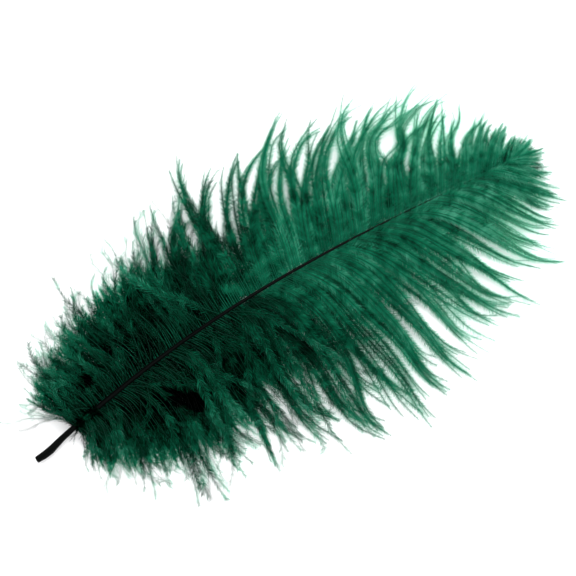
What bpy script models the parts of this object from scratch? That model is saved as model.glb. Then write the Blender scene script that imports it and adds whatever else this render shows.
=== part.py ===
"""An ostrich plume lying on its underside: one grown shaft, and a soft vane of barbs on each side of it.

The shaft runs from the cut end of its quill towards +X, bowed a little towards +Y and arched off the surface.
Each vane is one closed solid that follows its barbs: they leave the shaft, sweep outwards and curl forward at
their tips, and they gather in pointed locks along the vane's edge.
"""

import math

import bmesh
import bpy
from mathutils import Vector

# Driving dimensions, in metres
LENGTH = 0.260  # cut end of the quill to the tip of the shaft, along +X
BOW = 0.0415 * LENGTH  # how far the shaft bows towards +Y
ARCH = 0.0085  # how far the middle of the shaft rises above its ends
END_HEIGHT = 0.0024  # height of the shaft's axis at both ends
QUILL_RADIUS = 0.00145
QUILL_SWELL = 0.0004  # the bare quill is thicker than that in its middle
QUILL_SAG = 0.0008  # and bows towards -Y there
TIP_RADIUS = 0.00012
GAP = 0.0003  # between the shaft and a vane
EDGE_THICKNESS = 0.0012
LONGEST_BARB = {"left": 0.285 * LENGTH, "right": 0.350 * LENGTH}

# Proportions of the shaft, as shares of its length
BARE_QUILL = 0.085  # the vanes start here
QUILL_MIDDLE = 0.026  # where the quill swells and sags most
QUILL_REACH = 0.022  # and over how much of the length
VANE_END = 0.985
GROOVE_DEPTH = 0.22  # of the radius, along the underside of the rachis
CHAMFER = 0.00012

# How a barb's mean heading off the shaft changes along the vane, in degrees
SIDE = {"left": 1.0, "right": -1.0}  # the left vane lies towards +Y
BASE_HEADING = {"left": 92.0, "right": 98.0}
TIP_HEADING = {"left": 42.0, "right": 42.0}
SPLAY = 34.0  # the lowest barbs fan back towards the quill
SPLAY_REACH = 0.05  # as a share of the vane

# How far a barb turns from that mean heading at four places along itself, in degrees
HEADING_AT = (0.0, 0.35, 0.75, 1.0)
HEADING_TURN = {"left": (2.0, 12.0, -2.0, -24.0), "right": (-26.0, 6.0, 6.0, -10.0)}

# The mesh
SHAFT_SIDES = 14
SHAFT_STATIONS = 66
LOCKS = 18
STATIONS_PER_LOCK = 4
STEPS = 10
FLAT_FROM = 0.5  # from this share of a barb to its tip the underside lies flat
NOTCH = 0.20  # depth of the notches between locks, as a share of a barb
UNEVEN = 0.05  # how much the locks differ in length


def lerp(a, b, share):
    return a + (b - a) * share


def smooth(share):
    share = min(max(share, 0.0), 1.0)
    return share * share * (3.0 - 2.0 * share)


def quill_middle(s):
    """1 in the middle of the bare quill, and nothing past it."""
    return math.exp(-(((s - QUILL_MIDDLE) / QUILL_REACH) ** 2))


def shaft_point(s):
    """The shaft's axis at share s of its length."""
    rise, fall = 1.2, 1.5  # the bow is greatest nearer the quill
    crest = rise / (rise + fall)
    bow = BOW * (s / crest) ** rise * ((1.0 - s) / (1.0 - crest)) ** fall
    bow -= QUILL_SAG * quill_middle(s)
    return Vector((s * LENGTH, bow, END_HEIGHT + ARCH * math.sin(math.pi * s)))


def shaft_direction(s):
    step = 0.002
    ahead = shaft_point(min(s + step, 1.0))
    behind = shaft_point(max(s - step, 0.0))
    return (ahead - behind).normalized()


def shaft_radius(s):
    """The quill swells a little in its middle, and the rachis tapers to a hair at the tip."""
    taper = max(0.0, (s - 0.5 * BARE_QUILL) / (1.0 - 0.5 * BARE_QUILL))
    return TIP_RADIUS + (QUILL_RADIUS - TIP_RADIUS) * (1.0 - taper) ** 1.3 + QUILL_SWELL * quill_middle(s)


def barb_length(side, u):
    """Short at the base of the vane (u is 0), longest past the middle, and short again at the tip (u is 1)."""
    rise = 1.0 - 0.77 * math.exp(-u / 0.30)
    fall = 1.07 * max(1.0 - u**4.8, 0.0) ** 1.5
    return LONGEST_BARB[side] * (rise * fall + 0.07)


def heading(side, u, w):
    """The barb's angle off the shaft, in degrees, at share w of its own length."""
    mean = lerp(BASE_HEADING[side], TIP_HEADING[side], u) + SPLAY * math.exp(-u / SPLAY_REACH)
    turns = HEADING_TURN[side]
    for i in range(len(HEADING_AT) - 1):
        if w <= HEADING_AT[i + 1]:
            share = (w - HEADING_AT[i]) / (HEADING_AT[i + 1] - HEADING_AT[i])
            return mean + lerp(turns[i], turns[i + 1], smooth(share))
    return mean + turns[-1]


def lock_ridge(station):
    """0 in the notch between two locks and 1 along a lock's middle."""
    phase = (station % STATIONS_PER_LOCK) / STATIONS_PER_LOCK
    return 1.0 - abs(2.0 * phase - 1.0) ** 1.3


def lock_length(station):
    """Neighbouring locks differ a little in length."""
    lock = station / STATIONS_PER_LOCK
    return 1.0 + UNEVEN * math.sin(2.4 * lock) * math.cos(0.9 * lock)


def barb_path(side, s, u, length):
    """Points in the XY plane along a barb, from the shaft's surface to its tip."""
    direction = shaft_direction(s)
    forward = math.atan2(direction.y, direction.x)
    outward = Vector((-math.sin(forward), math.cos(forward))) * SIDE[side]
    point = Vector(shaft_point(s).xy) + outward * (shaft_radius(s) + 2.0 * GAP)
    points = [point]
    step_length = length / (STEPS - 1)
    for step in range(1, STEPS):
        turn = math.radians(heading(side, u, (step - 0.5) / (STEPS - 1))) * SIDE[side]
        point = point + Vector((math.cos(forward + turn), math.sin(forward + turn))) * step_length
        points.append(point)
    return points


def vane_heights(s, u, w, ridge):
    """(top, underside) of a vane: it hangs from the shaft, and its outer half lies flat on the surface."""
    axis_height = shaft_point(s).z
    above = lerp(0.0040, 0.0008, smooth(1.4 * u))
    below = lerp(0.0026, 0.0007, smooth(1.4 * u))
    crown = 0.0009 * ridge * math.sin(math.pi * w)
    top = lerp(axis_height + above, EDGE_THICKNESS, w**0.9) + crown
    underside = (axis_height - below) * (1.0 - (w / FLAT_FROM) ** 2)
    return top, max(underside, 0.0)


def new_material(name, colour, roughness):
    material = bpy.data.materials.new(name)
    material.use_nodes = True
    shader = material.node_tree.nodes["Principled BSDF"]
    shader.inputs["Base Color"].default_value = (*colour, 1.0)
    shader.inputs["Roughness"].default_value = roughness
    shader.inputs["Metallic"].default_value = 0.0
    return material


def new_object(name, shape, material):
    """Turns a closed bmesh into an object, with its faces pointing outwards."""
    bmesh.ops.recalc_face_normals(shape, faces=shape.faces)
    mesh = bpy.data.meshes.new(name)
    shape.to_mesh(mesh)
    shape.free()
    mesh.materials.append(material)
    mesh.shade_smooth()
    mesh.set_sharp_from_angle(angle=math.radians(50))
    made = bpy.data.objects.new(name, mesh)
    bpy.context.scene.collection.objects.link(made)
    return made


def shaft_ring(s, radius):
    """The shaft's section: round at the quill, and grooved along the underside of the rachis."""
    centre = shaft_point(s)
    depth = GROOVE_DEPTH * smooth((s - BARE_QUILL) / BARE_QUILL)
    ring = []
    for i in range(SHAFT_SIDES):
        angle = 2.0 * math.pi * (i + 0.5) / SHAFT_SIDES
        off_bottom = math.remainder(angle + 0.5 * math.pi, 2.0 * math.pi)
        reach = radius * (1.0 - depth * math.exp(-((off_bottom / 0.35) ** 2)))
        ring.append(centre + Vector((0.0, math.cos(angle), math.sin(angle))) * reach)
    return ring


def make_shaft(material):
    """The quill and the rachis, which grew as one piece. Its cut end is square to X."""
    stations = [(0.0, shaft_radius(0.0) - CHAMFER), (CHAMFER / LENGTH, shaft_radius(0.0))]
    for i in range(1, SHAFT_STATIONS + 1):
        stations.append((i / SHAFT_STATIONS, shaft_radius(i / SHAFT_STATIONS)))
    shape = bmesh.new()
    rings = [[shape.verts.new(point) for point in shaft_ring(s, radius)] for s, radius in stations]
    for ring, following in zip(rings, rings[1:]):
        for i in range(SHAFT_SIDES):
            j = (i + 1) % SHAFT_SIDES
            shape.faces.new((ring[i], ring[j], following[j], following[i]))
    shape.faces.new(rings[0])
    shape.faces.new(rings[-1])
    return new_object("shaft", shape, material)


def make_vane(side, material):
    """One vane: a top sheet and an underside, joined all round, and notched between its locks."""
    shape = bmesh.new()
    top, underside = [], []
    last = LOCKS * STATIONS_PER_LOCK
    for station in range(last + 1):
        u = station / last
        s = lerp(BARE_QUILL, VANE_END, u)
        ridge = lock_ridge(station)
        length = barb_length(side, u) * lock_length(station) * lerp(1.0 - NOTCH, 1.0, ridge)
        path = barb_path(side, s, u, length)
        heights = [vane_heights(s, u, step / (STEPS - 1), ridge) for step in range(STEPS)]
        top.append([shape.verts.new((*point, z[0])) for point, z in zip(path, heights)])
        underside.append([shape.verts.new((*point, z[1])) for point, z in zip(path, heights)])
    for sheet in (top, underside):
        for row, following in zip(sheet, sheet[1:]):
            for i in range(STEPS - 1):
                shape.faces.new((row[i], row[i + 1], following[i + 1], following[i]))
    for i in range(last):
        for edge in (0, STEPS - 1):
            shape.faces.new((top[i][edge], top[i + 1][edge], underside[i + 1][edge], underside[i][edge]))
    for end in (0, last):
        for i in range(STEPS - 1):
            shape.faces.new((top[end][i], top[end][i + 1], underside[end][i + 1], underside[end][i]))
    return new_object(f"{side}_vane", shape, material)


def lay_on_origin(pieces):
    """Moves the feather so that the origin is below the middle of its box, on the surface it lies on."""
    corners = [vertex.co for piece in pieces for vertex in piece.data.vertices]
    low = [min(corner[axis] for corner in corners) for axis in range(3)]
    high = [max(corner[axis] for corner in corners) for axis in range(3)]
    for piece in pieces:
        piece.location = (-(low[0] + high[0]) / 2, -(low[1] + high[1]) / 2, -low[2])


def main():
    for old in list(bpy.data.objects):
        bpy.data.objects.remove(old)
    keratin = new_material("dyed_keratin", (0.004, 0.007, 0.006), 0.35)
    barbs = new_material("dyed_barbs", (0.005, 0.110, 0.055), 0.80)
    lay_on_origin([make_shaft(keratin), make_vane("left", barbs), make_vane("right", barbs)])


main()
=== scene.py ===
"""A dyed ostrich plume on a white table: hundreds of barbs along a bowed shaft, each with its own barbules."""

import math

import bpy
import numpy as np
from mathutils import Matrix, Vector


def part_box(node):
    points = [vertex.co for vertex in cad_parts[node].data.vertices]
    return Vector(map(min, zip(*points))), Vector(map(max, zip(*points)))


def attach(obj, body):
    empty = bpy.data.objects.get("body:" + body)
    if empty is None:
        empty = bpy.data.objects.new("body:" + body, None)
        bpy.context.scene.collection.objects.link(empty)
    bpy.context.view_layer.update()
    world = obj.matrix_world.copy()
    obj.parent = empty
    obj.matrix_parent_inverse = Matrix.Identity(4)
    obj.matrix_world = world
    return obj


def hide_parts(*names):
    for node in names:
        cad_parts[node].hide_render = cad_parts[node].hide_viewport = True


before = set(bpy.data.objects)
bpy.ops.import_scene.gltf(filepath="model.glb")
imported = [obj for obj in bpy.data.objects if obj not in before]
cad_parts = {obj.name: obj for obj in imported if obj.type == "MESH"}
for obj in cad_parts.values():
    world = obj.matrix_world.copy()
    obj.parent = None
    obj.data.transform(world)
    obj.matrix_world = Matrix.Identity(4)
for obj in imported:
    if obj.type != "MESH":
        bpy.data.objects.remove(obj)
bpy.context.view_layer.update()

# ---------------------------------------------------------------- sizes, in metres, and proportions

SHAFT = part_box("shaft")
LENGTH = SHAFT[1].x - SHAFT[0].x
SIDE = {"left": 1.0, "right": -1.0}
BARE_QUILL = 0.085
VANE_END = 0.960
POINTS = 28  # along each barb
ALONG = np.linspace(0.0, 1.0, POINTS)[None, :]  # each point's share of its barb's length

# A barb's length, as a share of the feather's, and its heading off the shaft, by its place along the vane
LONGEST_BARB = {"left": 0.206, "right": 0.256}
BASE_BARB = {"left": 0.36, "right": 0.18}  # the lowest barb's share of that
BASE_REACH = {"left": 0.25, "right": 0.15}
SWELL = {"left": (1.0, 0.96), "right": (0.93, 1.13)}  # shorter in the lower half, longer in the upper
TIP_BARB = 0.0115  # length of the last barbs
FALL = {"left": (6.4, 1.6), "right": (4.9, 1.06)}  # how late and how steeply they shorten towards the tip
SPLAY = {"left": 6.0, "right": 14.0}  # the lowest barbs fan back towards the quill
SPLAY_REACH = 0.05
HEADING_AT = {"left": (0.0, 0.30, 0.62, 0.95, 1.0), "right": (0.0, 0.35, 0.80, 0.95, 1.0)}
HEADING = {"left": (92.0, 80.0, 59.0, 52.0, 14.0), "right": (98.0, 80.0, 42.0, 38.0, 8.0)}

# How a barb turns from that heading along itself, in the base of the vane and in its upper half
TURN_AT = (0.0, 0.35, 0.75, 1.0)
BASE_TURN = {"left": (-8.0, 15.0, 2.0, -14.0), "right": (-34.0, 3.0, 12.0, 2.0)}
UPPER_TURN = {"left": (12.0, 12.0, -12.0, -32.0), "right": (-18.0, 10.0, 12.0, -6.0)}

MAIN_BARBS = 255  # on each side
DOWN_BARBS = 120
UNDER_BARBS = 150
SHADE_BARBS = 320
CROWN_BARBS = 30
ROOT_BARBS = 60
SEED = 20  # of the left vane's random draws; the right one's is the next
BARBULE_SEED = 100  # of the right vane's barbules; the left one's is 0
BASE_END, PLUME_END = 0.33, 0.66  # where the vane's meshes end, as shares of its barbs

# How the vane's barbs gather in strands, and the strands in locks: smallest and largest share of the vane,
# pull, and where along a barb the pull begins
STRANDS = {"left": (0.005, 0.016), "right": (0.006, 0.019)}
STRAND_PULL = {"left": 0.85, "right": 0.72}
STRAND_START = {"left": 0.42, "right": 0.38}
STRAND_END = 0.85
LOWER_PULL = {"left": 0.55, "right": 0.26}  # share of that pull in the lower half of the vane
LOCKS = (0.035, 0.075)
LOCK_PULL = {"left": 0.14, "right": 0.10}
LOCK_START = 0.50
CALM = {"left": (1.0, 1.0), "right": (0.70, 0.45)}  # how much they sway, in the lower and upper half

# How far each sways at its tip, in degrees, and how much their lengths differ
LOCK_SWAY, STRAND_SWAY, BARB_SWAY, DOWN_SWAY = 5.0, 14.0, 5.5, 7.0
LOCK_RAGGED, STRAND_RAGGED, BARB_RAGGED = 0.04, 0.07, 0.07
LOOSE_DOWN = (0.65, 1.08)  # shortest and longest barb in the downy base, as shares of the mean
CURLS = (2.5, 5.0)  # fewest and most waves along a barb of down

# Heights
HUMP = 0.0014  # of a barb between its root and its tip, and twice that in the down
DOWN_RISE = (0.0020, 0.0085)  # of the lowest and the highest barb of down
CROWN_RISE = (0.0002, 0.0012)
ROOT_RISE = (0.0015, 0.0040)
LOWEST = 0.0006  # of the vane's barbs and the down
TIP_HEIGHT = 0.0016
UNDER_HEIGHT = 0.0012
SHADE_HEIGHT = 0.0010
HOLLOW_HEIGHT = 0.0008
CLEARANCE = 0.0001  # between the lowest barbules and the table

SET_IN = 0.7  # share of the shaft's radius at which the barbs begin
RAMUS_RADIUS = 0.000190
RAMUS_DYE = {"left": 0.08, "right": 0.05}  # in the vane, below its tip
OUTER_REACH = {"left": (0.22, 0.30), "right": (0.10, 0.38)}  # barbule length lost in a barb's outer half
DOWN_END = {"left": 0.36, "right": 0.44}  # how far up the vane the down reaches
SHADE_END = 0.40
CROWN_START = 0.90
ROOT_END = 0.055
ROOT_LENGTH = (0.004, 0.009)

# Barbules
BARBULE_REACH = (0.0036, 0.0026)  # mean length in the vane and in the down
LEAN_AT_SHAFT = 60.0  # angle to the barb, in degrees
LEAN = (44.0, 52.0)  # and further out, in the vane and in the down
# Of the barbules on each kind of barb: the distance from one to the next, width over length, bend forward,
# and the parts each bends in
BARBULES = {
    "vane": (0.000075, 0.062, 0.0, 1),
    "frond": (0.00024, 0.095, 0.34, 2),
    "down": (0.00050, 0.090, 0.40, 3),
    "under": (0.00012, 0.070, 0.0, 1),
    "shade": (0.00025, 0.240, 0.10, 1),
}
KINDS = {"base": "frond", "plume": "vane", "tip": "vane", "crown": "vane", "root": "shade"}

# Scale and detail of the noise that tufts the barbules, and of the noise that makes patches of dye
TUFTS, PATCHES = (620.0, 2.0), (240.0, 1.0)
TUFT_DYE, PATCH_DYE = 0.6, 1.4  # how strongly each of them shows in the dye
BARBULE_LENGTHS = (0.50, 1.20)  # shortest and longest, as shares of their reach
DYE_SPREAD = 0.10  # how far one barbule's dye is from the next one's

RAMI_NAME = "dyed rami"
FRINGE_LIGHTER = 0.42  # how much less dye a barbule's tip takes
SHEER, FRINGE_CLEARER = 0.5, 0.8  # share of the veil at a barbule's root, and what its tip adds

# Colours, from the deepest dye to the palest; the darkest also serve as painted shade, and the paler rami ones
# as a painted highlight beside the shaft
BARBULE_DYES_AND_SHADES = (
    (0.0, (0.0001, 0.0010, 0.0006)),
    (0.3, (0.0004, 0.0370, 0.0165)),
    (0.7, (0.0100, 0.2400, 0.1250)),
    (1.0, (0.1200, 0.5200, 0.3500)),
)
RAMUS_DYES_LIGHT_AND_SHADE = (
    (0.0, (0.0001, 0.0010, 0.0006)),
    (0.3, (0.0004, 0.0110, 0.0060)),
    (1.0, (0.0060, 0.2000, 0.1050)),
)
STEM_RANGE = (-0.5, 1.0)
VEIL_TINT = (0.58, 0.85, 0.74)
QUILL_DYES = (0.0001, 0.0002, 0.0002), (0.0010, 0.0018, 0.0015)
TABLE_WHITES = (0.90, 0.90, 0.91), (0.94, 0.94, 0.945)
TABLE_GLOW = 0.2

# Where the barbs part, and where the down is sunken and painted black as shade: share along the shaft, distance
# from it, radius
OPENINGS = {"left": ((0.775, 0.0300, 0.0040),), "right": ()}
HOLLOWS = {
    "left": ((0.155, 0.0118, 0.0026),),
    "right": ((0.257, 0.0178, 0.0040), (0.265, 0.0220, 0.0048), (0.273, 0.0260, 0.0040)),
}


def smooth(share):
    share = np.clip(share, 0.0, 1.0)
    return share * share * (3.0 - 2.0 * share)


def rising(x, start, over):
    """0 up to start, and eased up to 1 over the next stretch."""
    return smooth((x - start) / over)


def lerp(a, b, share):
    return a + (b - a) * share


def eased(at, values, where):
    """Values held at a few places, eased from each to the next."""
    at, values = np.array(at), np.array(values)
    i = np.clip(np.searchsorted(at, where, side="right") - 1, 0, len(at) - 2)
    share = smooth((where - at[i]) / (at[i + 1] - at[i]))
    return lerp(values[i], values[i + 1], share)


# ---------------------------------------------------------------- the shaft's line, from the CAD solid


def shaft_line():
    """Stations along the shaft: share of its length, and the middle and radius of its section."""
    co = np.array([v.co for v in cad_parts["shaft"].data.vertices])
    shares = np.round((co[:, 0] - SHAFT[0].x) / LENGTH, 4)
    rows = []
    for share in np.unique(shares):
        ring = co[shares == share]
        low, high = ring.min(0), ring.max(0)
        rows.append((share, *(low + high) / 2, (high[1] - low[1]) / 2))
    return np.array(rows)


LINE = shaft_line()


def shaft_at(s):
    """Middle of the shaft at shares s of its length."""
    return np.stack([np.interp(s, LINE[:, 0], LINE[:, i]) for i in (1, 2, 3)], -1)


def shaft_radius(s):
    return np.interp(s, LINE[:, 0], LINE[:, 4])


def shaft_heading(s):
    """Direction of the shaft in plan, in radians."""
    reach = 0.03
    ahead = shaft_at(np.clip(s + reach, 0, 1))
    behind = shaft_at(np.clip(s - reach, 0, 1))
    return np.arctan2(ahead[..., 1] - behind[..., 1], ahead[..., 0] - behind[..., 0])


# ---------------------------------------------------------------- how the barbs lie


def barb_length(side, u):
    """A barb's mean length at share u of the vane, in metres."""
    rise = 1.0 - (1.0 - BASE_BARB[side]) * np.exp(-u / BASE_REACH[side])
    late, steep = FALL[side]
    fall = 1.04 * np.clip(1.0 - u**late, 0.0, 1.0) ** steep
    swell = lerp(*SWELL[side], rising(u, 0.28, 0.32))
    return LENGTH * LONGEST_BARB[side] * rise * swell * fall + TIP_BARB


def barb_heading(side, u, w):
    """A barb's angle off the shaft at share w of its length, in degrees."""
    mean = eased(HEADING_AT[side], HEADING[side], u) + SPLAY[side] * np.exp(-u / SPLAY_REACH)
    base, upper = eased(TURN_AT, BASE_TURN[side], w), eased(TURN_AT, UPPER_TURN[side], w)
    straighter = 1.0 - 0.7 * rising(u, 0.86, 0.12)
    return mean + lerp(base, upper, rising(u, 0.12, 0.28)) * straighter


def lay(side, u, length, turn, rise):
    """Barbs as rows of points. turn and rise add to each point's heading, in degrees, and height."""
    w = ALONG
    s = lerp(BARE_QUILL, VANE_END, u)
    forward = shaft_heading(s)
    root = shaft_at(s)
    outward = np.stack([-np.sin(forward), np.cos(forward)], -1) * SIDE[side]
    root[:, :2] += outward * shaft_radius(s)[:, None] * SET_IN
    middle = (w[:, 1:] + w[:, :-1]) / 2
    heading = barb_heading(side, u[:, None], middle) + (turn[:, 1:] + turn[:, :-1]) / 2
    angle = forward[:, None] + SIDE[side] * np.radians(heading)
    step = (length / (POINTS - 1))[:, None]
    points = np.zeros((len(u), POINTS, 3))
    points[:, 0] = root
    points[:, 1:, 0] = root[:, None, 0] + np.cumsum(np.cos(angle) * step, 1)
    points[:, 1:, 1] = root[:, None, 1] + np.cumsum(np.sin(angle) * step, 1)
    points[:, :, 2] = lerp(root[:, None, 2], TIP_HEIGHT, smooth(w**0.8)) + rise
    return points


def waves(rng, count, size, turns=(0.6, 1.6)):
    """Smooth random sideways drift for each barb, nothing at its root and most at its tip."""
    w = ALONG
    rate = rng.uniform(*turns, count)[:, None]
    phase = rng.uniform(0, 1, count)[:, None]
    lean = rng.normal(0, 1, count)[:, None]
    sway = rng.normal(0, 1, count)[:, None]
    return size * w * (lean + sway * np.sin(2 * math.pi * (rate * w + phase)))


def groups(rng, u, smallest, largest):
    """Numbers neighbouring barbs into groups of random width."""
    numbers = np.zeros(len(u), int)
    edge, number = rng.uniform(smallest, largest), 0
    for i, at in enumerate(u):
        if at > edge:
            number += 1
            edge += rng.uniform(smallest, largest)
        numbers[i] = number
    return numbers


def gather(points, numbers, strength, start, end=1.0):
    """Draws the barbs of each group together between two shares of their length, and lets their tips part."""
    w = ALONG[:, :, None]
    loosened = 1.0 - 0.6 * rising(w, end, 0.2)
    pull = rising(w, start, end - start) * loosened * strength[:, None, None]
    middle = np.zeros_like(points)
    for number in np.unique(numbers):
        inside = numbers == number
        middle[inside] = points[inside].mean(0)
    return lerp(points, middle, pull)


def offsets(side, points, s, away):
    """From a place beside the shaft to each point, in plan."""
    forward = shaft_heading(np.array([s]))[0]
    outward = np.array((-math.sin(forward), math.cos(forward))) * SIDE[side]
    middle = shaft_at(np.array([s]))[0, :2] + outward * away
    return points[:, :, :2] - middle


def part(side, points):
    """Pushes the barbs aside from the openings on their side."""
    for s, away, radius in OPENINGS[side]:
        offset = offsets(side, points, s, away)
        distance = np.linalg.norm(offset, axis=-1, keepdims=True)
        push = radius * np.exp(-((distance / (1.6 * radius)) ** 2))
        points[:, :, :2] += offset / np.maximum(distance, 1e-5) * push
    return points


def sink_and_shade(side, barbs):
    """Lowers the barbs over the hollows on their side, and darkens them there towards black: painted shade."""
    for s, away, radius in HOLLOWS[side]:
        offset = offsets(side, barbs["points"], s, away)
        round_it = np.arctan2(offset[..., 1], offset[..., 0])
        edge = radius * (1.0 + 0.16 * np.sin(3 * round_it + 1.0) + 0.12 * np.sin(7 * round_it))
        near = np.exp(-((np.linalg.norm(offset, axis=-1) / edge) ** 4))
        barbs["points"][:, :, 2] = lerp(barbs["points"][:, :, 2], HOLLOW_HEIGHT, 0.8 * near)
        # painted shade: dye and stems go black over each hollow
        barbs["dye_and_shade"] -= 0.9 * near
        barbs["stem"] -= 0.9 * near
    return barbs


def vane_places(rng):
    """Where the vane's barbs leave the shaft, closer together towards the tip."""
    u = (np.arange(MAIN_BARBS) + rng.uniform(-0.3, 0.3, MAIN_BARBS)) / (MAIN_BARBS - 1)
    return 1.0 - (1.0 - np.sort(np.clip(u, 0.0, 1.0))) ** 1.25


def vane_dye_and_shade(rng, u, down, low, strands):
    """Depth of dye in the barbules at each point, with painted shade: black at the quill, green at the tips and
    up the vane.
    """
    w, count = ALONG, len(u)
    mid = rising(u, 0.12, 0.2) * (1.0 - rising(u, 0.5, 0.2))
    # black at the quill and green up the vane: partly dye and partly painted shade
    tone = lerp(-0.52, 0.60, smooth(u * 1.15 + 0.07)) + 0.035 * rng.normal(0, 1, strands.max() + 1)[strands]
    tone += (0.05 + 0.08 * down) * rng.normal(0, 1, count)
    dye_and_shade = tone[:, None] + blotches(rng, count, 0.05 + 0.05 * down) + lerp(0.16, 0.36, down)[:, None] * (w - 0.5)
    # paler at the tips of the lowest barbs; darker round the roots of the downy ones, which is painted shade
    dye_and_shade += 0.66 * low[:, None] * w**2 - 0.30 * down[:, None] * (1.0 - smooth(w / 0.75))
    dye_and_shade += 0.22 * (1.0 - smooth(u / 0.25))[:, None] * w**1.5
    return dye_and_shade + 0.24 * mid[:, None] * (1.0 - smooth(w / 0.5))


def vane_stem(side, u, down, length):
    """Depth of dye in the rami at each point: pale beside the shaft, which is painted highlight, and at the
    tip, dark between them.
    """
    w = ALONG
    # painted highlight: the rami are paler close to the shaft
    near = 1.0 - rising(w * length[:, None], 0.004, 0.011)
    stem = lerp(0.45, 0.25, rising(u, 0.25, 0.4))[:, None] * near
    stem += lerp(RAMUS_DYE[side], 0.32, rising(u, 0.80, 0.20))[:, None]
    return stem + (0.38 + 0.6 * down)[:, None] * w**2


def main_barbs(side, rng):
    """The barbs that make the vane: gathered in strands, and the strands in loose locks."""
    w, count = ALONG, MAIN_BARBS
    u = vane_places(rng)
    down = 1.0 - rising(u, 0.02, 0.42)  # how downy the barbs are
    low, upper = 1.0 - rising(u, 0.10, 0.50), rising(u, 0.55, 0.3)
    fan = rising(u, 0.86, 0.08)  # the last barbs fan out
    calm = lerp(*CALM[side], upper) * (1 - 0.6 * fan)
    strands, locks = groups(rng, u, *STRANDS[side]), groups(rng, u, *LOCKS)
    n_locks, n_strands = locks.max() + 1, strands.max() + 1

    turn = waves(rng, n_locks, LOCK_SWAY)[locks] * calm[:, None]
    turn += waves(rng, n_strands, STRAND_SWAY, (0.7, 1.8))[strands] * ((1 + 0.5 * down) * calm)[:, None]
    turn += waves(rng, count, BARB_SWAY) * ((1 + 2.0 * down) * calm)[:, None]
    turn += waves(rng, count, DOWN_SWAY, CURLS) * down[:, None]
    length = barb_length(side, u) * (1 + LOCK_RAGGED * rng.normal(0, 1, n_locks)[locks])
    length *= 1 + STRAND_RAGGED * rng.normal(0, 1, n_strands)[strands]
    length *= 1 + BARB_RAGGED * rng.normal(0, 1, count)
    length *= lerp(1.0, rng.uniform(*LOOSE_DOWN, count), down)

    hump = HUMP + HUMP * down + 0.5 * HUMP * rng.normal(0, 1, n_strands)[strands]
    hump += (0.00015 + 0.0012 * down) * rng.normal(0, 1, count)
    points = lay(side, u, length, turn, hump[:, None] * np.sin(math.pi * w**0.8))
    pull = STRAND_PULL[side] * lerp(LOWER_PULL[side], 1.0, rising(u, 0.40, 0.25))
    points = gather(points, strands, pull * (1 - 0.8 * down) * (1 - 0.5 * fan), STRAND_START[side], STRAND_END)
    points = gather(points, locks, LOCK_PULL[side] * (1 - 0.7 * down), LOCK_START)
    points = part(side, points)
    points[:, :, 2] = np.maximum(points[:, :, 2], LOWEST)

    dye_and_shade, stem = vane_dye_and_shade(rng, u, down, low, strands), vane_stem(side, u, down, length)
    barbs = dress(rng, points, down, length, dye_and_shade, stem)
    outer = rising(w, 0.30, 0.45) * rising(u, 0.22, 0.35)[:, None]  # a looser fringe
    low, upper, fan = low[:, None], upper[:, None], fan[:, None]
    barbs["reach"] *= 1.0 - lerp(*OUTER_REACH[side], upper) * outer
    barbs["droop"] += 0.12 * outer
    barbs["loose"] += 0.14 * outer
    barbs["lean"] += 0.10 * outer
    barbs["veil"] = (0.08 + 0.27 * upper + lerp(0.28, 0.60, upper) * outer) * (1.0 - 0.45 * fan)
    barbs["dye_and_shade"] += 0.13 * outer
    barbs["ruffle"] = lerp(0.50, 1.0, low) * (1.0 - 0.5 * outer)
    return sink_and_shade(side, barbs)


def down_barbs(side, rng):
    """Short curling barbs of down that stand over the base of the vane."""
    count = DOWN_BARBS
    u = np.sort(rng.uniform(0.0, 1.0, count) ** 1.15) * DOWN_END[side]
    turn = waves(rng, count, 26.0, (0.6, 2.0)) + rng.normal(0, 16, count)[:, None]
    turn += waves(rng, count, 12.0, CURLS)
    length = barb_length(side, u) * rng.uniform(0.45, 1.08, count)
    w = ALONG
    rank = rng.uniform(0.0, 1.0, count)  # how high each barb stands; the higher are painted paler, as light, and the lower darker, as shade
    rise = lerp(*DOWN_RISE, rank)[:, None] * np.sin(math.pi * w**0.7)
    phase = rng.uniform(0, 2 * math.pi, count)[:, None]
    rise = rise + 0.0012 * rng.uniform(0, 1, count)[:, None] * np.sin(9 * w + phase) * w
    points = lay(side, u, length, turn, rise)
    points[:, :, 2] = np.maximum(points[:, :, 2], LOWEST)
    # painted light and shade: dye and stem go paler with a barb's height
    tone = lerp(-0.26, 0.50, rank) + 0.07 * rng.normal(0, 1, count)
    dye_and_shade = tone[:, None] + blotches(rng, count, 0.05) + 0.70 * (w - 0.50)
    stem = lerp(-0.10, 0.15, rank)[:, None] + 0.5 * w**3
    barbs = dress(rng, points, np.ones(count), length, dye_and_shade, stem)
    barbs["loose"] *= 0.5
    barbs["ruffle"] *= 0.5
    barbs["reach"] *= 1.15
    return sink_and_shade(side, barbs)


def under_barbs(side, rng):
    """Barbs below the others, which close the vane near the shaft."""
    count = UNDER_BARBS
    u = lerp(0.22, 0.98, (np.arange(count) + rng.uniform(0.0, 1.0, count)) / count)
    turn = waves(rng, count, 8.0, (0.8, 2.0))
    length = barb_length(side, u) * rng.uniform(0.48, 0.74, count)
    length *= lerp(1.0, 0.7, rising(u, 0.5, 0.2))
    w = ALONG
    points = lay(side, u, length, turn, 0.0 * w)
    points[:, :, 2] = lerp(points[:, :, 2], UNDER_HEIGHT, smooth(w * 3))
    points = part(side, points)
    tone = lerp(0.06, 0.34, smooth((u - 0.3) * 2))
    dye_and_shade = tone[:, None] + blotches(rng, count, 0.03) + 0.22 * w
    barbs = dress(rng, points, np.zeros(count), length, dye_and_shade, 0.0 * dye_and_shade)
    barbs["reach"] *= np.clip(3.0 * (1.02 - w), 0.0, 1.0)
    barbs["veil"] = 0.10 + 0.45 * w + 0.0 * dye_and_shade
    return barbs


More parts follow.
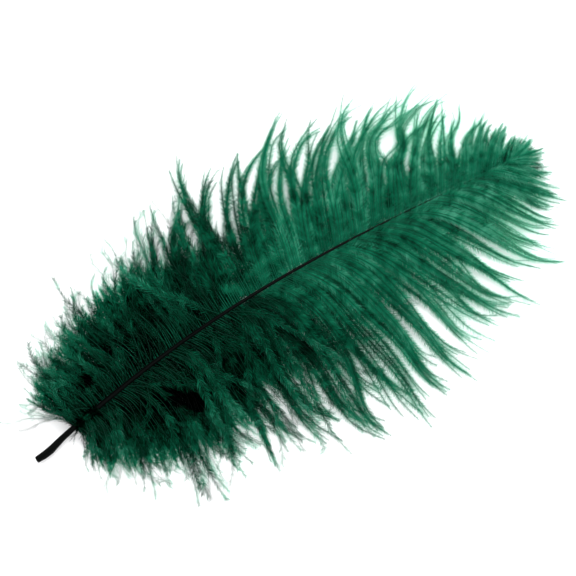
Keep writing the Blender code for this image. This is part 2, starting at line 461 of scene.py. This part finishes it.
def shade_barbs(side, rng):
    """Down that lies lowest and fills the base of the vane, nearly black near its roots: painted shade under
    the other barbs.
    """
    count = SHADE_BARBS
    u = SHADE_END * (np.arange(count) + rng.uniform(0.0, 1.0, count)) / count
    fade = rising(u, 0.18, 0.20)  # it gets shorter and paler up the vane
    turn = waves(rng, count, 12.0, (0.8, 2.0)) + rng.normal(0, 5, count)[:, None]
    length = barb_length(side, u) * rng.uniform(0.62, 0.92, count) * lerp(1.0, 0.65, fade)
    w = ALONG
    points = lay(side, u, length, turn, 0.0 * w)
    points[:, :, 2] = lerp(points[:, :, 2], SHADE_HEIGHT, smooth(w * 4))
    # painted shade: near black at the roots, fading up the vane and turning green towards the tips
    dye_and_shade = lerp(-0.34, -0.02, fade)[:, None] + blotches(rng, count, 0.02)
    dye_and_shade = dye_and_shade + 0.85 * rising(w, 0.35, 0.50)
    barbs = dress(rng, points, np.ones(count), length, dye_and_shade, 0.0 * dye_and_shade)
    barbs["reach"] *= np.clip(4.0 * (1.02 - w), 0.0, 1.0)
    return barbs


def crown_barbs(side, rng):
    """Short barbs that fan out evenly round the tip of the shaft."""
    count = CROWN_BARBS
    share = (np.arange(count) + rng.uniform(0.0, 1.0, count)) / count
    u = lerp(CROWN_START, 1.0, share)
    turn = waves(rng, count, 5.0) + (rng.normal(0, 1, count) * lerp(4.0, 16.0, share))[:, None]
    length = barb_length(side, u) * rng.uniform(0.70, 1.0, count)
    w = ALONG
    hump = rng.uniform(*CROWN_RISE, count)
    points = lay(side, u, length, turn, hump[:, None] * np.sin(math.pi * w**0.8))
    dye_and_shade = 0.46 + 0.08 * rng.normal(0, 1, (count, 1)) + 0.25 * (w - 0.5)
    barbs = dress(rng, points, np.zeros(count), length, dye_and_shade, 0.1 + 0.0 * dye_and_shade)
    barbs["veil"] = 0.10 + 0.40 * w + 0.0 * dye_and_shade
    barbs["ruffle"] = 0.6 + 0.0 * dye_and_shade
    return barbs


def root_barbs(side, rng):
    """A short black tuft where the vane begins on the quill."""
    count = ROOT_BARBS
    u = np.sort(rng.uniform(0.0, ROOT_END, count))
    turn = waves(rng, count, 20.0) + rng.uniform(-150, 50, count)[:, None]
    length = rng.uniform(*ROOT_LENGTH, count)
    w = ALONG
    rise = rng.uniform(*ROOT_RISE, count)[:, None] * np.minimum(6 * w, 1.0)
    points = lay(side, u, length, turn, rise)
    dye_and_shade = -0.10 + 0.04 * rng.normal(0, 1, (count, 1)) + 0.0 * w
    barbs = dress(rng, points, np.ones(count), length, dye_and_shade, 0.0 * dye_and_shade)
    barbs["reach"] *= 1.0 - 0.6 * w
    return barbs


def blotches(rng, count, depth):
    """Deeper and paler stretches of dye along each barb."""
    w = ALONG
    total = 0.0
    for rate in (2.0, 4.5):
        phase = rng.uniform(0, 2 * math.pi, (count, 1))
        pace = rate * rng.uniform(0.7, 1.4, (count, 1))
        total = total + np.sin(2 * math.pi * pace * w + phase)
    return total * np.reshape(depth * np.ones(count), (count, 1))


def dress(rng, points, down, length, dye_and_shade, stem):
    """Adds each point's ramus girth, barbule reach, lean, droop and looseness, and depths of dye with painted
    shade.
    """
    count = len(points)
    w = ALONG
    down = down[:, None]
    long = length[:, None]
    short = np.clip(long / 0.05, 0.25, 1.0)
    from_shaft = smooth(w * long / np.minimum(0.018, 0.5 * long))
    shortened = np.clip(0.75 + w * long / 0.004, 0, 1) * np.clip((1.2 - w) * 2.2, lerp(0.4, 0.9, down), 1)
    full = lerp(*BARBULE_REACH, down) * (0.5 + 0.5 * short)
    return {
        "points": points,
        "girth": RAMUS_RADIUS * (1.0 - 0.15 * from_shaft) * (1.0 - 0.65 * w) * (0.6 + 0.4 * short),
        "reach": shortened * full * (1 + 0.1 * rng.normal(0, 1, (count, 1))),
        "lean": np.radians(lerp(LEAN_AT_SHAFT, lerp(*LEAN, down), from_shaft)),
        "loose": lerp(0.25, 0.18, from_shaft) + 0 * down,
        "droop": lerp(0.30, 0.24, from_shaft) + 0 * down,
        # painted shade: the barbules are a little darker beside the shaft
        "dye_and_shade": dye_and_shade - lerp(0.06, 0.0, from_shaft),
        "veil": 0.0 * dye_and_shade,
        "ruffle": 1.0 + 0.0 * dye_and_shade,
        "stem": stem + 0 * w,
    }


def at_corners(mesh, key):
    """An attribute's value at each corner of each face."""
    values = np.zeros(len(mesh.vertices), np.float32)
    mesh.attributes[key].data.foreach_get("value", values)
    vertices = np.zeros(len(mesh.loops), np.int32)
    mesh.loops.foreach_get("vertex_index", vertices)
    return values[vertices]


def spread(values, low, high):
    """Values moved to run from low to high."""
    return lerp(low, high, (values - values.min()) / max(np.ptp(values), 1e-6))


def lay_on_map(mesh):
    """Places the faces on the mesh's own map: barbules by dye with painted shade and by clearness, and rami by
    their dye with painted highlight and shade along its foot.
    """
    corners, materials = np.zeros((2, len(mesh.polygons)), np.int32)
    mesh.polygons.foreach_get("loop_total", corners)
    mesh.polygons.foreach_get("material_index", materials)
    ramus = np.repeat(materials == mesh.materials.find(RAMI_NAME), corners)
    fringe = at_corners(mesh, "fringe")
    depth = at_corners(mesh, "dye_and_shade") + FRINGE_LIGHTER * fringe
    clear = at_corners(mesh, "veil") * (FRINGE_CLEARER * fringe + SHEER)
    across = np.where(ramus, spread(at_corners(mesh, "stem"), 0.02, 0.98), spread(depth, 0.02, 0.98))
    up = np.where(ramus, 0.05, spread(clear, 0.15, 0.97))
    number = np.arange(len(ramus)) - np.repeat(np.cumsum(corners) - corners, corners)
    turn = 2 * math.pi * number / np.repeat(corners, corners)
    room = 0.006  # so that no face is without width
    places = np.stack([across + room * np.cos(turn), up + room * np.sin(turn)], -1)
    layer = mesh.uv_layers.new(name="OFBake")
    layer.data.foreach_set("uv", places.astype(np.float32).ravel())


def grow(name, barbs, seed, tree, kind):
    """Turns rows of points into barbs with their barbules, as one plain mesh that stands for part of a vane."""
    points = barbs["points"]
    count = len(points)
    mesh = bpy.data.meshes.new(name)
    first = np.arange(count * POINTS).reshape(count, POINTS)
    edges = np.stack([first[:, :-1].ravel(), first[:, 1:].ravel()], -1)
    mesh.from_pydata(points.reshape(-1, 3).tolist(), edges.tolist(), [])
    for key in [key for key in barbs if key != "points"]:
        layer = mesh.attributes.new(key, "FLOAT", "POINT")
        layer.data.foreach_set("value", barbs[key].astype(np.float32).ravel())
    curve = bpy.data.objects.new(name, mesh)
    bpy.context.scene.collection.objects.link(curve)
    modifier = curve.modifiers.new("grow", "NODES")
    modifier.node_group = tree
    identifiers = {item.name: item.identifier for item in tree.interface.items_tree if item.in_out == "INPUT"}
    modifier[identifiers["Seed"]] = seed
    for key, value in zip(("Spacing", "Slenderness", "Bend", "Parts"), BARBULES[kind]):
        modifier[identifiers[key]] = value
    evaluated = curve.evaluated_get(bpy.context.evaluated_depsgraph_get())
    grown = bpy.data.meshes.new_from_object(evaluated)
    bpy.data.objects.remove(curve)
    bpy.data.meshes.remove(mesh)
    grown.name = name
    lay_on_map(grown)
    piece = bpy.data.objects.new(name, grown)
    bpy.context.scene.collection.objects.link(piece)
    return piece


# ---------------------------------------------------------------- the tree that grows barbules on barbs


def put(tree, kind, inputs=None, **settings):
    """Adds a node with the given settings; each of its inputs gets a value or a link."""
    made = tree.nodes.new(kind)
    for name, value in settings.items():
        setattr(made, name, value)
    for key, value in (inputs or {}).items():
        socket = made.inputs[key]
        if isinstance(value, bpy.types.NodeSocket):
            tree.links.new(value, socket)
        else:
            socket.default_value = value
    return made


def maths(tree, operation, a, b=0.0):
    return put(tree, "ShaderNodeMath", {0: a, 1: b}, operation=operation).outputs[0]


def attribute(tree, name):
    return put(tree, "GeometryNodeInputNamedAttribute", {"Name": name}, data_type="FLOAT").outputs[0]


def chance(tree, low, high, seed):
    """A random value for each point."""
    return put(tree, "FunctionNodeRandomValue", {2: low, 3: high, "Seed": seed}, data_type="FLOAT").outputs[1]


def store(tree, geometry, name, value):
    inputs = {"Geometry": geometry, "Name": name, "Value": value}
    return put(tree, "GeometryNodeStoreNamedAttribute", inputs, data_type="FLOAT", domain="POINT").outputs[0]


def turned(tree, rotation, axis, angle):
    """A rotation followed by a turn about one of its own axes."""
    by = put(tree, "FunctionNodeAxisAngleToRotation", {"Axis": axis, "Angle": angle}).outputs[0]
    inputs = {"Rotation": rotation, "Rotate By": by}
    return put(tree, "FunctionNodeRotateRotation", inputs, rotation_space="LOCAL").outputs[0]


def uneven(tree, scale, detail):
    """Soft noise either side of nothing, as strong as the attribute ruffle says."""
    place = put(tree, "GeometryNodeInputPosition").outputs[0]
    noise = put(tree, "ShaderNodeTexNoise", {"Vector": place, "Scale": scale, "Detail": detail}).outputs["Fac"]
    return maths(tree, "MULTIPLY", maths(tree, "SUBTRACT", noise, 0.5), attribute(tree, "ruffle"))


def barbule_shape(tree, slenderness, bend, parts):
    """A flat tapering ribbon one unit long, bent forward towards its tip."""
    grid = put(tree, "GeometryNodeMeshGrid", {"Size X": 1.0, "Size Y": 1.0, "Vertices Y": 2})
    tree.links.new(maths(tree, "ADD", parts, 1.0), grid.inputs["Vertices X"])
    place = put(tree, "GeometryNodeInputPosition").outputs[0]
    split = put(tree, "ShaderNodeSeparateXYZ", {0: place})
    along = maths(tree, "ADD", split.outputs[0], 0.5)
    left = maths(tree, "POWER", maths(tree, "SUBTRACT", 1.0, along), 0.6)
    across = maths(tree, "MULTIPLY", maths(tree, "MULTIPLY", split.outputs[1], slenderness), left)
    drop = maths(tree, "MULTIPLY", maths(tree, "MULTIPLY", along, along), bend)
    across = maths(tree, "SUBTRACT", across, drop)
    target = put(tree, "ShaderNodeCombineXYZ", {0: along, 1: across, 2: 0.0}).outputs[0]
    moved = put(tree, "GeometryNodeSetPosition", {"Geometry": grid.outputs[0], "Position": target})
    ribbon = put(tree, "GeometryNodeMergeByDistance", {"Geometry": moved.outputs[0], "Distance": 0.0001})
    place = put(tree, "GeometryNodeInputPosition").outputs[0]
    along = put(tree, "ShaderNodeSeparateXYZ", {0: place}).outputs[0]
    return store(tree, ribbon.outputs[0], "fringe", along)


def barb_tree(name, barbule_material, rami_material=None):
    """Grows barbules in two rows on each barb, and a ramus along it if that has a material.

    It reads these attributes of the barbs: girth and stem for the ramus; reach, lean, droop and loose for the
    barbules' length and stance; dye_and_shade, ruffle and veil for their depth of dye and painted shade, its
    patchiness and clearness.
    """
    tree = bpy.data.node_groups.new(name, "GeometryNodeTree")
    tree.interface.new_socket("Geometry", in_out="INPUT", socket_type="NodeSocketGeometry")
    for label, value in (("Spacing", 0.0002), ("Slenderness", 0.05), ("Bend", 0.35)):
        socket = tree.interface.new_socket(label, in_out="INPUT", socket_type="NodeSocketFloat")
        socket.default_value = value
    for label in ("Seed", "Parts"):
        tree.interface.new_socket(label, in_out="INPUT", socket_type="NodeSocketInt")
    tree.interface.new_socket("Geometry", in_out="OUTPUT", socket_type="NodeSocketGeometry")
    given = put(tree, "NodeGroupInput").outputs

    barbs = put(tree, "GeometryNodeMeshToCurve", {"Mesh": given["Geometry"]}).outputs[0]
    spots = put(tree, "GeometryNodeCurveToPoints", {"Curve": barbs, "Length": given["Spacing"]}, mode="LENGTH")
    up = (0.0, 0.0, 1.0)
    align = "FunctionNodeAlignRotationToVector"
    rotation = put(tree, align, {"Vector": spots.outputs["Tangent"]}, axis="X").outputs[0]
    rotation = put(tree, align, {"Rotation": rotation, "Vector": up}, axis="Z", pivot_axis="X").outputs[0]
    seed = given["Seed"]
    tufts, patches = (uneven(tree, scale, detail) for scale, detail in (TUFTS, PATCHES))
    loose = attribute(tree, "loose")
    half = maths(tree, "MODULO", put(tree, "GeometryNodeInputIndex").outputs[0], 2.0)
    either_way = maths(tree, "SUBTRACT", maths(tree, "MULTIPLY", half, 2.0), 1.0)
    hang = maths(tree, "MULTIPLY", either_way, attribute(tree, "droop"))
    roll = maths(tree, "MULTIPLY", chance(tree, -1.0, 1.0, maths(tree, "ADD", seed, 11)), loose)
    roll = maths(tree, "ADD", maths(tree, "MULTIPLY", half, math.pi), maths(tree, "ADD", roll, hang))
    rotation = turned(tree, rotation, (1.0, 0.0, 0.0), roll)
    stray = maths(tree, "MULTIPLY", chance(tree, -1.0, 1.0, maths(tree, "ADD", seed, 23)), loose)
    lean = maths(tree, "ADD", maths(tree, "ADD", stray, 1.0), tufts)
    rotation = turned(tree, rotation, (0.0, 0.0, 1.0), maths(tree, "MULTIPLY", lean, attribute(tree, "lean")))
    twist = maths(tree, "MULTIPLY", chance(tree, -1.0, 1.0, maths(tree, "ADD", seed, 37)), loose)
    rotation = turned(tree, rotation, (1.0, 0.0, 0.0), twist)
    reach = maths(tree, "ADD", chance(tree, *BARBULE_LENGTHS, maths(tree, "ADD", seed, 41)), tufts)
    reach = maths(tree, "MULTIPLY", reach, attribute(tree, "reach"))
    depth = chance(tree, -DYE_SPREAD, DYE_SPREAD, maths(tree, "ADD", seed, 53))
    depth = maths(tree, "MULTIPLY", depth, attribute(tree, "ruffle"))
    depth = maths(tree, "ADD", depth, attribute(tree, "dye_and_shade"))
    depth = maths(tree, "ADD", depth, maths(tree, "MULTIPLY", tufts, TUFT_DYE))
    depth = maths(tree, "ADD", depth, maths(tree, "MULTIPLY", patches, PATCH_DYE))
    points = store(tree, spots.outputs["Points"], "dye_and_shade", depth)
    barbules = put(
        tree, "GeometryNodeInstanceOnPoints",
        {
            "Points": points,
            "Instance": barbule_shape(tree, given["Slenderness"], given["Bend"], given["Parts"]),
            "Rotation": rotation,
            "Scale": reach,
        },
    ).outputs[0]
    barbules = put(tree, "GeometryNodeRealizeInstances", {"Geometry": barbules}).outputs[0]
    barbules = put(tree, "GeometryNodeSetMaterial", {"Geometry": barbules, "Material": barbule_material})

    joined = put(tree, "GeometryNodeJoinGeometry")
    tree.links.new(barbules.outputs[0], joined.inputs[0])
    if rami_material:
        ring = put(tree, "GeometryNodeCurvePrimitiveCircle", {"Resolution": 3, "Radius": 1.0}).outputs[0]
        rami = put(
            tree, "GeometryNodeCurveToMesh",
            {"Curve": barbs, "Profile Curve": ring, "Scale": attribute(tree, "girth"), "Fill Caps": True},
        ).outputs[0]
        rami = store(tree, rami, "fringe", 0.0)
        rami = put(tree, "GeometryNodeSetMaterial", {"Geometry": rami, "Material": rami_material})
        tree.links.new(rami.outputs[0], joined.inputs[0])
    place = put(tree, "ShaderNodeSeparateXYZ", {0: put(tree, "GeometryNodeInputPosition").outputs[0]}).outputs
    height = maths(tree, "MAXIMUM", place[2], CLEARANCE)
    lifted = put(tree, "ShaderNodeCombineXYZ", {0: place[0], 1: place[1], 2: height}).outputs[0]
    laid = put(tree, "GeometryNodeSetPosition", {"Geometry": joined.outputs[0], "Position": lifted}).outputs[0]
    put(tree, "NodeGroupOutput", {"Geometry": laid})
    return tree


# ---------------------------------------------------------------- finishes


def shader_nodes(name):
    """A new material, and its empty tree."""
    material = bpy.data.materials.new(name)
    material.use_nodes = True
    tree = material.node_tree
    tree.nodes.clear()
    return material, tree


def blended(tree, dark, light, share):
    """Mixes two colours."""
    colours = {6: (*dark, 1.0), 7: (*light, 1.0)}
    return put(tree, "ShaderNodeMix", {0: share, **colours}, data_type="RGBA").outputs[2]


def ramp(tree, share, stops):
    """Runs through the colours of stops, each with its place."""
    made = put(tree, "ShaderNodeValToRGB", {"Fac": share})
    marks = made.color_ramp.elements
    while len(marks) < len(stops):
        marks.new(1.0)
    for mark, (place, colour) in zip(marks, stops):
        mark.position = place
        mark.color = (*colour, 1.0)
    return made.outputs["Color"]


def barbule_finish():
    """Dyed down with painted shade in its colour: matt, with light showing through, and partly clear where the
    attribute veil says so.
    """
    material, tree = shader_nodes("dyed barbules")
    dye_and_shade = put(tree, "ShaderNodeAttribute", attribute_name="dye_and_shade").outputs["Fac"]
    fringe = put(tree, "ShaderNodeAttribute", attribute_name="fringe").outputs["Fac"]
    depth = maths(tree, "ADD", dye_and_shade, maths(tree, "MULTIPLY", fringe, FRINGE_LIGHTER))
    colour = ramp(tree, depth, BARBULE_DYES_AND_SHADES)
    matt = put(
        tree, "ShaderNodeBsdfPrincipled", {"Base Color": colour, "Roughness": 0.8, "Specular IOR Level": 0.0}
    )
    glow = put(tree, "ShaderNodeBsdfTranslucent", {"Color": colour})
    both = put(tree, "ShaderNodeMixShader", {0: 0.45, 1: matt.outputs[0], 2: glow.outputs[0]})
    veil = put(tree, "ShaderNodeAttribute", attribute_name="veil").outputs["Fac"]
    sheer = maths(tree, "ADD", maths(tree, "MULTIPLY", fringe, FRINGE_CLEARER), SHEER)
    thin = maths(tree, "MULTIPLY", veil, sheer)
    clear = put(tree, "ShaderNodeBsdfTransparent", {"Color": (*VEIL_TINT, 1.0)})
    seen = put(tree, "ShaderNodeMixShader", {0: thin, 1: both.outputs[0], 2: clear.outputs[0]})
    put(tree, "ShaderNodeOutputMaterial", {"Surface": seen.outputs[0]})
    return material


def rami_finish():
    """The dyed stems of the barbs, with painted highlight and shade in their colour, a little glossier than
    their barbules.
    """
    material, tree = shader_nodes(RAMI_NAME)
    stem = put(tree, "ShaderNodeAttribute", attribute_name="stem").outputs["Fac"]
    low, high = STEM_RANGE
    depth = put(tree, "ShaderNodeMapRange", {"Value": stem, "From Min": low, "From Max": high}).outputs[0]
    colour = ramp(tree, depth, RAMUS_DYES_LIGHT_AND_SHADE)
    horn = put(
        tree, "ShaderNodeBsdfPrincipled", {"Base Color": colour, "Roughness": 0.5, "Specular IOR Level": 0.08}
    )
    put(tree, "ShaderNodeOutputMaterial", {"Surface": horn.outputs[0]})
    return material


def quill_finish():
    """Nearly black horn with fine streaks along it."""
    material, tree = shader_nodes("dyed quill")
    place = put(tree, "ShaderNodeTexCoord").outputs["Object"]
    stretched = put(tree, "ShaderNodeMapping", {"Vector": place, "Scale": (60.0, 900.0, 900.0)}).outputs[0]
    streaks = put(tree, "ShaderNodeTexNoise", {"Vector": stretched, "Scale": 1.0, "Detail": 6.0}).outputs["Fac"]
    colour = blended(tree, *QUILL_DYES, streaks)
    bump = put(tree, "ShaderNodeBump", {"Height": streaks, "Strength": 0.3, "Distance": 0.0001}).outputs[0]
    rough = put(tree, "ShaderNodeMapRange", {"Value": streaks, "To Min": 0.35, "To Max": 0.55}).outputs[0]
    horn = put(
        tree, "ShaderNodeBsdfPrincipled",
        {"Base Color": colour, "Roughness": rough, "Normal": bump, "Specular IOR Level": 0.05},
    )
    put(tree, "ShaderNodeOutputMaterial", {"Surface": horn.outputs[0]})
    return material


def table_finish():
    """White board that gives off a faint light of its own, so that it stays white under the feather's edges."""
    material, tree = shader_nodes("white table")
    place = put(tree, "ShaderNodeTexCoord").outputs["Object"]
    grain = put(tree, "ShaderNodeTexNoise", {"Vector": place, "Scale": 400.0, "Detail": 4.0}).outputs["Fac"]
    colour = blended(tree, *TABLE_WHITES, grain)
    top = put(
        tree, "ShaderNodeBsdfPrincipled",
        {"Base Color": colour, "Roughness": 0.7, "Emission Color": colour, "Emission Strength": TABLE_GLOW},
    )
    put(tree, "ShaderNodeOutputMaterial", {"Surface": top.outputs[0]})
    return material


# ---------------------------------------------------------------- table, light and camera

TILT = 32.07  # how far the chord of the shaft turns above the view's horizontal, in degrees
VIEW_WIDTH = 0.2549
VIEW_FROM_QUILL = (0.134, 0.0054)  # from the quill's cut end to the middle of the view
LENS = 85.0
SENSOR = 36.0
HALF_TABLE = 3.0
KEY_POWER, KEY_SIZE, KEY_PLACE = 6.0, 0.5, (0.35, 0.35, 0.7)
SURROUNDINGS = 1.0


def make_table():
    mesh = bpy.data.meshes.new("table")
    corners = [(x * HALF_TABLE, y * HALF_TABLE, 0) for x, y in ((-1, -1), (1, -1), (1, 1), (-1, 1))]
    mesh.from_pydata(corners, [], [(0, 1, 2, 3)])
    table = bpy.data.objects.new("table", mesh)
    bpy.context.scene.collection.objects.link(table)
    mesh.materials.append(table_finish())


def make_light():
    light = bpy.data.lights.new("key", "AREA")
    light.energy = KEY_POWER
    light.size = KEY_SIZE
    made = bpy.data.objects.new("key", light)
    made.location = KEY_PLACE
    towards_feather = -made.location
    made.rotation_euler = towards_feather.to_track_quat("-Z", "Y").to_euler()
    bpy.context.scene.collection.objects.link(made)


def make_world():
    world = bpy.data.worlds.new("studio")
    world.use_nodes = True
    background = world.node_tree.nodes["Background"]
    background.inputs["Color"].default_value = (1.0, 1.0, 1.0, 1.0)
    background.inputs["Strength"].default_value = SURROUNDINGS
    bpy.context.scene.world = world


def make_camera():
    camera_data = bpy.data.cameras.new("camera")
    camera_data.lens = LENS
    camera_data.sensor_width = SENSOR
    camera = bpy.data.objects.new("camera", camera_data)
    quill_end = shaft_at(np.array([0.0]))[0]
    middle = quill_end[:2] + VIEW_FROM_QUILL
    camera.location = (middle[0], middle[1], VIEW_WIDTH * LENS / SENSOR)
    camera.rotation_euler = (0.0, 0.0, -math.radians(TILT))
    bpy.context.scene.collection.objects.link(camera)
    bpy.context.scene.camera = camera


def pick(barbs, inside):
    """Some of the barbs, with all that is kept for each."""
    return {key: value[inside] for key, value in barbs.items()}


def main():
    rami, barbules = rami_finish(), barbule_finish()
    upper = barb_tree("barbs and barbules", barbules, rami)
    lower = barb_tree("barbules of the lower barbs", barbules)
    for number, side in enumerate(("left", "right")):
        rng = np.random.default_rng(SEED + number)
        barbs = main_barbs(side, rng)
        place = np.linspace(0.0, 1.0, MAIN_BARBS) + rng.uniform(-0.05, 0.05, MAIN_BARBS)
        layers = {
            "base": pick(barbs, place < BASE_END),
            "plume": pick(barbs, (place >= BASE_END) & (place < PLUME_END)),
            "tip": pick(barbs, place >= PLUME_END),
            "down": down_barbs(side, rng),
            "under": under_barbs(side, rng),
            "shade": shade_barbs(side, rng),
            "crown": crown_barbs(side, rng),
            "root": root_barbs(side, rng),
        }
        for layer, some in layers.items():
            name = f"{side}_{layer}"
            kind = KINDS.get(layer, layer)
            tree = lower if kind in ("under", "shade") else upper
            piece = grow(name, some, BARBULE_SEED * number, tree, kind)
            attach(piece, "root")
            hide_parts(f"{side}_vane")
    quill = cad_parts["shaft"]
    quill.data.materials.clear()
    quill.data.materials.append(quill_finish())

    make_table()
    make_world()
    make_light()
    make_camera()
    bpy.context.scene.view_settings.view_transform = "Standard"


main()
